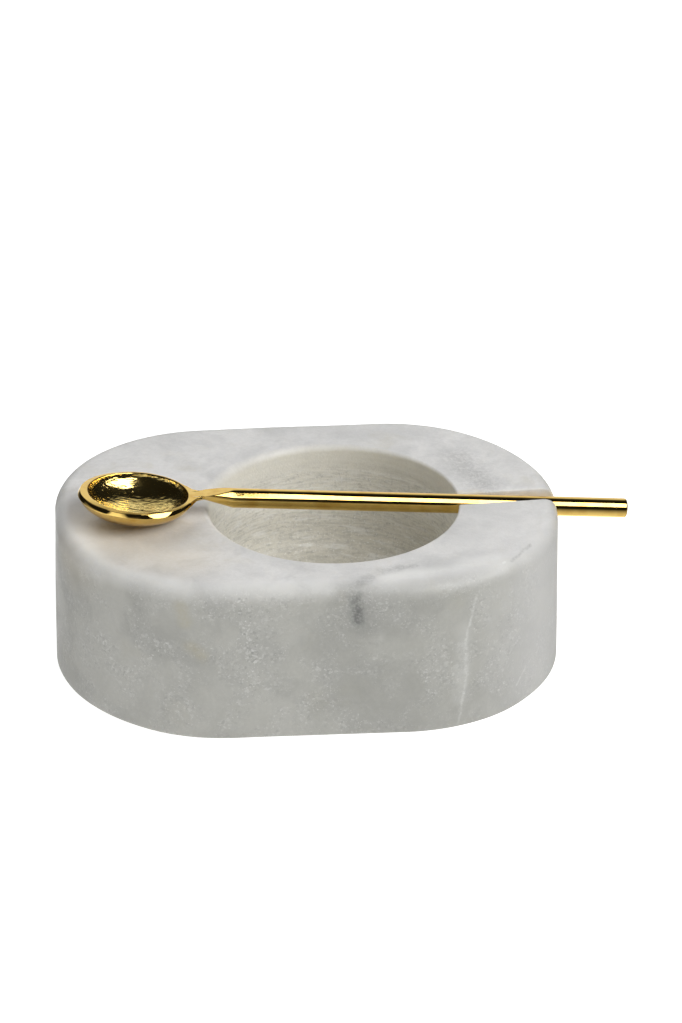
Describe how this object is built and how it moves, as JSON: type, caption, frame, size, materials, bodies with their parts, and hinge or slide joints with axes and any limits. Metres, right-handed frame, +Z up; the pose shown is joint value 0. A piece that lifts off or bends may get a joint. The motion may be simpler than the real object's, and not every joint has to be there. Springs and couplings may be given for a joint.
{
  "type": "salt cellar",
  "caption": "Oblong marble salt cellar with rounded ends and an off-centre round well, and a loose brass spoon that lies across it with its handle in a groove.",
  "frame": {"origin": "middle of the block's base, where it rests on the table", "axes": "+Z up, +X along the block towards the groove and the tail of the spoon, -Y towards the pictured front"},
  "size_m": [0.1169, 0.073, 0.0403],
  "materials": {
    "marble": "honed",
    "brass": "polished"
  },
  "bodies": {
    "block": {"marble_block": "marble"},
    "spoon": {"spoon_bowl": "brass", "spoon_handle": "brass"}
  },
  "joints": [
    {"name": "spoon_lift", "type": "slide", "parent": "block", "child": "spoon", "axis": [0, 0, 1], "range_m": [0, 0.08]}
  ]
}
